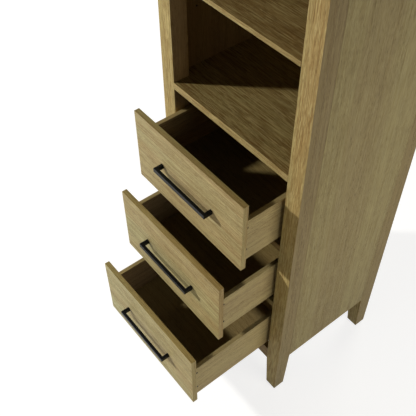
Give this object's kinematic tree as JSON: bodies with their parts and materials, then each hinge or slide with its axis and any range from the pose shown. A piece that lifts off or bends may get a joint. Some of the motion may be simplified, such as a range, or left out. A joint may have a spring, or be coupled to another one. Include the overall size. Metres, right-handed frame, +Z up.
{
  "type": "bathroom storage tower",
  "caption": "Tall narrow oak-veneered tower on tapered feet, with an open bay, an adjustable shelf and inset drawers on concealed runners with black bar pulls.",
  "frame": {"origin": "on the floor, under the middle of the tower's whole box as it stands at rest with its drawers open", "axes": "+Z up, +X to the right seen from the front, the drawers open towards -Y"},
  "size_m": [0.508, 0.709, 1.524],
  "materials": {
    "oak_veneer": "light oak veneer under a matt lacquer",
    "plain_wood": "bare light wood",
    "black_metal": "satin black powder coat",
    "zinc_steel": "bright zinc plating",
    "nickel": "nickel plating",
    "dark_screw": "dark browned steel",
    "black_plastic": "black nylon"
  },
  "bodies": {
    "tower": {"post_front_left": "oak_veneer", "post_front_right": "oak_veneer", "post_rear_left": "oak_veneer", "post_rear_right": "oak_veneer", "side_panel_left": "oak_veneer", "side_panel_right": "oak_veneer", "back_panel": "oak_veneer", "top_panel": "oak_veneer", "deck": "oak_veneer", "adjustable_shelf": "oak_veneer", "shelf_pins": "nickel", "rail_upper": "oak_veneer", "rail_lower": "oak_veneer", "rail_bottom": "oak_veneer", "rail_rear": "oak_veneer", "cleat_upper_left": "plain_wood", "cleat_upper_right": "plain_wood", "cleat_middle_left": "plain_wood", "cleat_middle_right": "plain_wood", "cleat_lower_left": "plain_wood", "cleat_lower_right": "plain_wood", "dowels": "plain_wood", "runner_screws": "zinc_steel", "foot_glides": "black_plastic", "drawer_upper_cabinet_runners": "zinc_steel", "drawer_middle_cabinet_runners": "zinc_steel", "drawer_lower_cabinet_runners": "zinc_steel"},
    "drawer_upper": {"drawer_upper_front": "oak_veneer", "drawer_upper_box_front": "oak_veneer", "drawer_upper_side_left": "oak_veneer", "drawer_upper_side_right": "oak_veneer", "drawer_upper_back": "oak_veneer", "drawer_upper_bottom": "oak_veneer", "drawer_upper_pull": "black_metal", "drawer_upper_pull_screws": "zinc_steel", "drawer_upper_box_screws": "dark_screw", "drawer_upper_drawer_runners": "zinc_steel"},
    "runners_upper": {"drawer_upper_middle_runners": "zinc_steel"},
    "drawer_middle": {"drawer_middle_front": "oak_veneer", "drawer_middle_box_front": "oak_veneer", "drawer_middle_side_left": "oak_veneer", "drawer_middle_side_right": "oak_veneer", "drawer_middle_back": "oak_veneer", "drawer_middle_bottom": "oak_veneer", "drawer_middle_pull": "black_metal", "drawer_middle_pull_screws": "zinc_steel", "drawer_middle_box_screws": "dark_screw", "drawer_middle_drawer_runners": "zinc_steel"},
    "runners_middle": {"drawer_middle_middle_runners": "zinc_steel"},
    "drawer_lower": {"drawer_lower_front": "oak_veneer", "drawer_lower_box_front": "oak_veneer", "drawer_lower_side_left": "oak_veneer", "drawer_lower_side_right": "oak_veneer", "drawer_lower_back": "oak_veneer", "drawer_lower_bottom": "oak_veneer", "drawer_lower_pull": "black_metal", "drawer_lower_pull_screws": "zinc_steel", "drawer_lower_box_screws": "dark_screw", "drawer_lower_drawer_runners": "zinc_steel"},
    "runners_lower": {"drawer_lower_middle_runners": "zinc_steel"}
  },
  "joints": [
    {"name": "drawer_upper_slide", "type": "slide", "parent": "tower", "child": "drawer_upper", "axis": [0, -1, 0], "range_m": [-0.123, 0.227]},
    {"name": "runners_upper_slide", "type": "slide", "parent": "tower", "child": "runners_upper", "axis": [0, -1, 0], "range_m": [-0.0615, 0.1135]},
    {"name": "drawer_middle_slide", "type": "slide", "parent": "tower", "child": "drawer_middle", "axis": [0, -1, 0], "range_m": [-0.188, 0.162]},
    {"name": "runners_middle_slide", "type": "slide", "parent": "tower", "child": "runners_middle", "axis": [0, -1, 0], "range_m": [-0.094, 0.081]},
    {"name": "drawer_lower_slide", "type": "slide", "parent": "tower", "child": "drawer_lower", "axis": [0, -1, 0], "range_m": [-0.277, 0.073]},
    {"name": "runners_lower_slide", "type": "slide", "parent": "tower", "child": "runners_lower", "axis": [0, -1, 0], "range_m": [-0.1385, 0.0365]}
  ],
  "couplings": [
    {"joint": "runners_upper_slide", "follows": "drawer_upper_slide", "ratio": 0.5},
    {"joint": "runners_middle_slide", "follows": "drawer_middle_slide", "ratio": 0.5},
    {"joint": "runners_lower_slide", "follows": "drawer_lower_slide", "ratio": 0.5}
  ]
}
